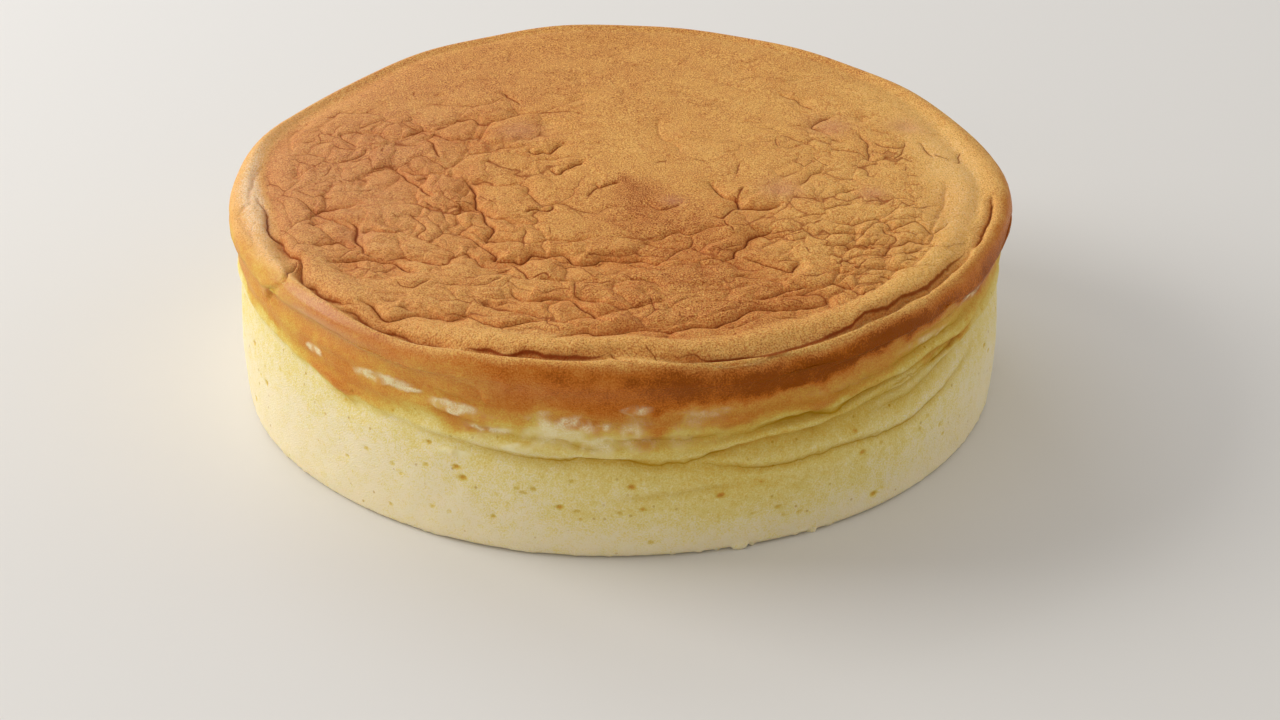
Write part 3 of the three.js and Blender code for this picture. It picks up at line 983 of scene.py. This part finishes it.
# The grain is strongest on the dry crown, weaker on the film and gone from the crumb.
grain_share = add(tree, "ShaderNodeMapRange", {"Value": read["crown"], "To Min": 0.2}).outputs["Result"]
grain_share = add(tree, "ShaderNodeMath", {0: grain_share, 1: browned}, operation="MULTIPLY").outputs[0]
speckle = add(tree, "ShaderNodeMath", {0: grainy, 1: grain_share}, operation="MULTIPLY").outputs[0]
shade_at = read["bake"]
for pattern, weight in ((blotchy, BLOTCHED), (mottled, MOTTLED), (grainy, GRAINED), (speckle, SPECKLED)):
    inputs = {0: pattern, 1: weight, 2: shade_at}
    shade_at = add(tree, "ShaderNodeMath", inputs, operation="MULTIPLY_ADD").outputs[0]
shades = []
for stops in (WALL_SHADES, CROWN_SHADES):
    ramp = add(tree, "ShaderNodeValToRGB", {"Fac": shade_at})
    elements = ramp.color_ramp.elements
    for number, (at, code) in enumerate(stops):
        stop = elements[number] if number < 2 else elements.new(at)
        stop.position = at
        stop.color = linear(code)
    shades.append(ramp.outputs["Color"])
inputs = {0: read["crown"], COLOUR_A: shades[0], COLOUR_B: shades[1]}
colour = add(tree, "ShaderNodeMix", inputs, data_type="RGBA").outputs[COLOUR_OUT]

# Painted sheen: a pinkish colour laid over the skin where it catches the light.
painted_sheen_share = add(tree, "ShaderNodeMath", {0: read["painted_sheen"], 1: 0.6}, operation="MULTIPLY").outputs[0]
# Painted warm shade: the skin in the valleys is painted redder, partly for a redder bake and partly for
# the shade there and the light that glows through the skin.
warm_shade_share = add(tree, "ShaderNodeMath", {0: read["warm_shade_and_bake"], 1: 0.42}, operation="MULTIPLY").outputs[0]
# Painted shade: a crack's floor is painted as a thin dark line, with a faint darker edge on both sides,
# mostly for the shade that falls in the crack and partly for the skin's darker colour there.
away = add(tree, "ShaderNodeMath", {0: read["crease_at"]}, operation="ABSOLUTE").outputs[0]
inputs = {0: away, 1: -1.6, 2: read["crease"]}
floor_line = add(tree, "ShaderNodeMath", inputs, operation="MULTIPLY_ADD").outputs[0]
floor_line = add(
    tree,
    "ShaderNodeMapRange",
    {"Value": floor_line, "From Min": 0.05, "From Max": 0.8, "To Max": 0.75},
    interpolation_type="SMOOTHSTEP",
).outputs["Result"]
edge_line = add(
    tree,
    "ShaderNodeMapRange",
    {"Value": away, "From Max": 1.6, "To Min": 0.2, "To Max": 0.0},
).outputs["Result"]
inputs = {0: edge_line, 1: read["crease"]}
edge_line = add(tree, "ShaderNodeMath", inputs, operation="MULTIPLY").outputs[0]
inputs = {0: floor_line, 1: edge_line}
line_share = add(tree, "ShaderNodeMath", inputs, operation="ADD", use_clamp=True).outputs[0]
# The painted shade of the lines lies on the browned skin as crack lines and on the pale sponge as fold
# lines.
crack_shade_share = add(tree, "ShaderNodeMath", {0: line_share, 1: browned}, operation="MULTIPLY").outputs[0]
fold_shade_share = add(tree, "ShaderNodeMath", {0: line_share, 1: unbrowned}, operation="MULTIPLY").outputs[0]
# About a third of the specks are pores in the crumb, and they are old gold inside; the fold lines are
# painted old gold too, as painted shade.
speck_share = add(
    tree,
    "ShaderNodeMapRange",
    {"Value": specks.outputs["Distance"], "From Min": 0.17, "From Max": 0.1, "To Max": 0.55},
    interpolation_type="SMOOTHSTEP",
).outputs["Result"]
chosen = add(tree, "ShaderNodeSeparateColor", {"Color": specks.outputs["Color"]}).outputs["Red"]
inputs = {"Value": chosen, "From Min": 0.55, "From Max": 0.9}
chosen = add(tree, "ShaderNodeMapRange", inputs).outputs["Result"]
for share in (chosen, unbrowned):
    speck_share = add(tree, "ShaderNodeMath", {0: speck_share, 1: share}, operation="MULTIPLY").outputs[0]
inputs = {0: read["gold_and_shade"], 1: 0.55, 2: speck_share}
gold_and_shade_share = add(tree, "ShaderNodeMath", inputs, operation="MULTIPLY_ADD").outputs[0]
inputs = {0: fold_shade_share, 1: 0.8, 2: gold_and_shade_share}
gold_and_shade_share = add(tree, "ShaderNodeMath", inputs, operation="MULTIPLY_ADD", use_clamp=True).outputs[0]
# Where the skin peeled off, the open sponge shows in patches with a mottled edge.
torn_share = 1.0
for pattern, weight in ((mottled, 1.8), (grainy, 0.8)):
    inputs = {0: pattern, 1: weight, 2: torn_share}
    torn_share = add(tree, "ShaderNodeMath", inputs, operation="MULTIPLY_ADD").outputs[0]
inputs = {0: torn_share, 1: read["peel"]}
torn_share = add(tree, "ShaderNodeMath", inputs, operation="MULTIPLY").outputs[0]
torn_share = add(
    tree,
    "ShaderNodeMapRange",
    {"Value": torn_share, "From Min": 0.05, "From Max": 1.25, "To Max": 0.92},
    interpolation_type="SMOOTHSTEP",
).outputs["Result"]
pore_share = add(
    tree,
    "ShaderNodeMapRange",
    {"Value": pores.outputs["Distance"], "From Min": 0.34, "From Max": 0.1, "To Max": 0.4},
).outputs["Result"]
pore_share = add(tree, "ShaderNodeMath", {0: pore_share, 1: grain_share}, operation="MULTIPLY").outputs[0]
# Mixed over the skin in turn: the painted sheen, the painted warm shade, the painted shade of crack
# lines, the old gold with its painted shade, the peeled sponge and the pores.
for share, code in (
    (painted_sheen_share, "#cc8c6c"),
    (warm_shade_share, "#cc6a2e"),
    (crack_shade_share, "#8e3c06"),
    (gold_and_shade_share, "#be9018"),
    (torn_share, "#f8ebbe"),
    (pore_share, "#8f4d22"),
):
    inputs = {0: share, COLOUR_A: colour, COLOUR_B: linear(code)}
    colour = add(tree, "ShaderNodeMix", inputs, data_type="RGBA").outputs[COLOUR_OUT]

# Fine wrinkles: sharp valleys where a slow noise passes through its middle value.
wrinkled = add(tree, "ShaderNodeMath", {0: wrinkles, 1: 0.5}, operation="SUBTRACT").outputs[0]
wrinkled = add(tree, "ShaderNodeMath", {0: wrinkled}, operation="ABSOLUTE").outputs[0]
inputs = {"Value": wrinkled, "From Max": 0.12, "To Max": 1.5}
wrinkled = add(tree, "ShaderNodeMapRange", inputs).outputs["Result"]
raised = add(tree, "ShaderNodeMath", {0: wrinkled, 1: read["pucker"]}, operation="MULTIPLY").outputs[0]
for pattern, weight in ((grainy, 1.15), (line_share, -1.0), (speck_share, -0.5), (pore_share, -0.8)):
    inputs = {0: pattern, 1: weight, 2: raised}
    raised = add(tree, "ShaderNodeMath", inputs, operation="MULTIPLY_ADD").outputs[0]
inputs = {"Strength": 0.45, "Distance": BUMP_DEPTH * MM, "Height": raised}
bump = add(tree, "ShaderNodeBump", inputs).outputs["Normal"]
film_share = add(tree, "ShaderNodeMath", {0: 1.0, 1: read["crown"]}, operation="SUBTRACT").outputs[0]
film_share = add(tree, "ShaderNodeMath", {0: film_share, 1: browned}, operation="MULTIPLY").outputs[0]
# The dry crown is the roughest, and the film on the wall the smoothest.
inputs = {"Value": film_share, "To Min": 0.66, "To Max": 0.36}
rough = add(tree, "ShaderNodeMapRange", inputs).outputs["Result"]
coated = add(tree, "ShaderNodeMath", {0: read["shine"], 1: browned}, operation="MULTIPLY").outputs[0]
skin_shader = add(
    tree,
    "ShaderNodeBsdfPrincipled",
    {
        "Base Color": colour,
        "Roughness": rough,
        "Normal": bump,
        "IOR": 1.42,
        "Specular IOR Level": 0.12,
        "Coat Weight": coated,
        "Coat Roughness": 0.32,
        "Subsurface Weight": 0.22,
        "Subsurface Radius": (1.0, 0.55, 0.25),
        "Subsurface Scale": LIGHT_REACH * MM,
    },
)
add(tree, "ShaderNodeOutputMaterial", {"Surface": skin_shader.outputs["BSDF"]})
cake_mesh.materials.clear()
cake_mesh.materials.append(sponge)

# The skin laid flat: the crown as a disc, the wall as two strips above it and the underside, half
# size, beside it. SHEET is the side of the square that they share, in mm, and DISC_RUN is where on
# the slice the disc begins.
SHEET = 356.0
DISC = 114.0
STRIP = 64.0
GAP = 2
DISC_RUN = 0.68
corner_vert = np.empty(len(cake_mesh.loops), np.int32)
cake_mesh.loops.foreach_get("vertex_index", corner_vert)
final = np.empty(len(cake_mesh.vertices) * 3)
cake_mesh.vertices.foreach_get("co", final)
final_run = np.empty(len(cake_mesh.vertices))
cake_mesh.attributes["run"].data.foreach_get("value", final_run)
corner = (final.reshape(-1, 3) / MM)[corner_vert]
corner_run = np.repeat(final_run[corner_vert].reshape(-1, 3).mean(axis=1), 3)
face_spot = corner.reshape(-1, 3, 3).mean(axis=1)
face_turn = np.repeat(np.degrees(np.arctan2(face_spot[:, 1], face_spot[:, 0])) % FULL_TURN, 3)
corner_turn = np.degrees(np.arctan2(corner[:, 1], corner[:, 0]))
half = FULL_TURN / 2
corner_turn = face_turn + (corner_turn - face_turn + half) % FULL_TURN - half
strip = (face_turn >= half).astype(float)
flat_u = np.radians(corner_turn - strip * half) * SIDE_RADIUS + GAP
flat_v = 2 * DISC + GAP + strip * STRIP + np.clip(corner[:, 2], 0, STRIP - GAP)
on_disc = corner_run > DISC_RUN
flat_u = np.where(on_disc, corner[:, 0] + DISC, flat_u)
flat_v = np.where(on_disc, corner[:, 1] + DISC, flat_v)
beneath = corner_run < -0.01
flat_u = np.where(beneath, corner[:, 0] / 2 + 2.5 * DISC + GAP, flat_u)
flat_v = np.where(beneath, corner[:, 1] / 2 + DISC, flat_v)
unwrapped = cake_mesh.uv_layers.new(name="OFBake")
laid = np.stack((flat_u, flat_v), axis=1).ravel().astype(np.float32) / SHEET
unwrapped.uv.foreach_set("vector", laid)

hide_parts("cheesecake")
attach(cake, "root")

# ------------------------------------------------------------------------------------------------
# A plain pale table under the cake, soft daylight from a big window on the left and a little behind,
# and the light that a pale room throws back.
FLOOR_SIZE = 6.0
ROOM_STRENGTH = 0.53
floor_mesh = bpy.data.meshes.new("table_top")
table = bmesh.new()
bmesh.ops.create_grid(table, x_segments=1, y_segments=1, size=FLOOR_SIZE / 2)
table.to_mesh(floor_mesh)
table.free()
floor = bpy.data.objects.new("table_top", floor_mesh)
bpy.context.scene.collection.objects.link(floor)
paper = bpy.data.materials.new("matt_paper")
paper.use_nodes = True
paper_shader = paper.node_tree.nodes["Principled BSDF"]
paper_shader.inputs["Base Color"].default_value = linear("#e2dfda")
paper_shader.inputs["Roughness"].default_value = 0.9
floor_mesh.materials.append(paper)


def window_light(name, azimuth, elevation, distance, size, watts, code):
    """A soft square light at an azimuth and elevation, turned to the cake."""
    lamp = bpy.data.lights.new(name, "AREA")
    lamp.shape = "SQUARE"
    lamp.size = size
    lamp.energy = watts
    lamp.color = linear(code)[:3]
    holder = bpy.data.objects.new(name, lamp)
    turned = math.radians(azimuth)
    lifted = math.radians(elevation)
    holder.location = (
        distance * math.cos(lifted) * math.cos(turned),
        distance * math.cos(lifted) * math.sin(turned),
        distance * math.sin(lifted),
    )
    holder.rotation_euler = (math.pi / 2 - lifted, 0, turned + math.pi / 2)
    bpy.context.scene.collection.objects.link(holder)


# Name, azimuth, elevation, distance and size in metres, watts and colour.
window_light("window", 167, 30, 1.6, 0.9, 15.8, "#fffefc")
window_light("back_window", 118, 30, 2.0, 1.2, 9.8, "#eaf0ff")
window_light("front_window", 220, 18, 2.0, 1.2, 3.5, "#fffaf2")
window_light("right_window", 20, 18, 2.0, 1.2, 5.5, "#f6f4ee")

room = bpy.data.worlds.new("pale_room")
room.use_nodes = True
room.node_tree.nodes["Background"].inputs["Color"].default_value = linear("#fdfbf8")
room.node_tree.nodes["Background"].inputs["Strength"].default_value = ROOM_STRENGTH
room.cycles_visibility.glossy = False
bpy.context.scene.world = room

# The camera looks down on the front of the cake from about a metre away.
CAMERA_PITCH = 28.35
CAMERA_DISTANCE = 1.0534
CAMERA_AIM = (5.64 * MM, 0.0, 2.52 * MM)
camera_data = bpy.data.cameras.new("camera")
camera_data.lens = 100
camera_data.sensor_width = 36
camera = bpy.data.objects.new("camera", camera_data)
pitch = math.radians(CAMERA_PITCH)
camera.location = (
    CAMERA_AIM[0],
    CAMERA_AIM[1] - CAMERA_DISTANCE * math.cos(pitch),
    CAMERA_AIM[2] + CAMERA_DISTANCE * math.sin(pitch),
)
camera.rotation_euler = (math.pi / 2 - pitch, 0, 0)
bpy.context.scene.collection.objects.link(camera)
bpy.context.scene.camera = camera
bpy.context.scene.view_settings.view_transform = "Standard"
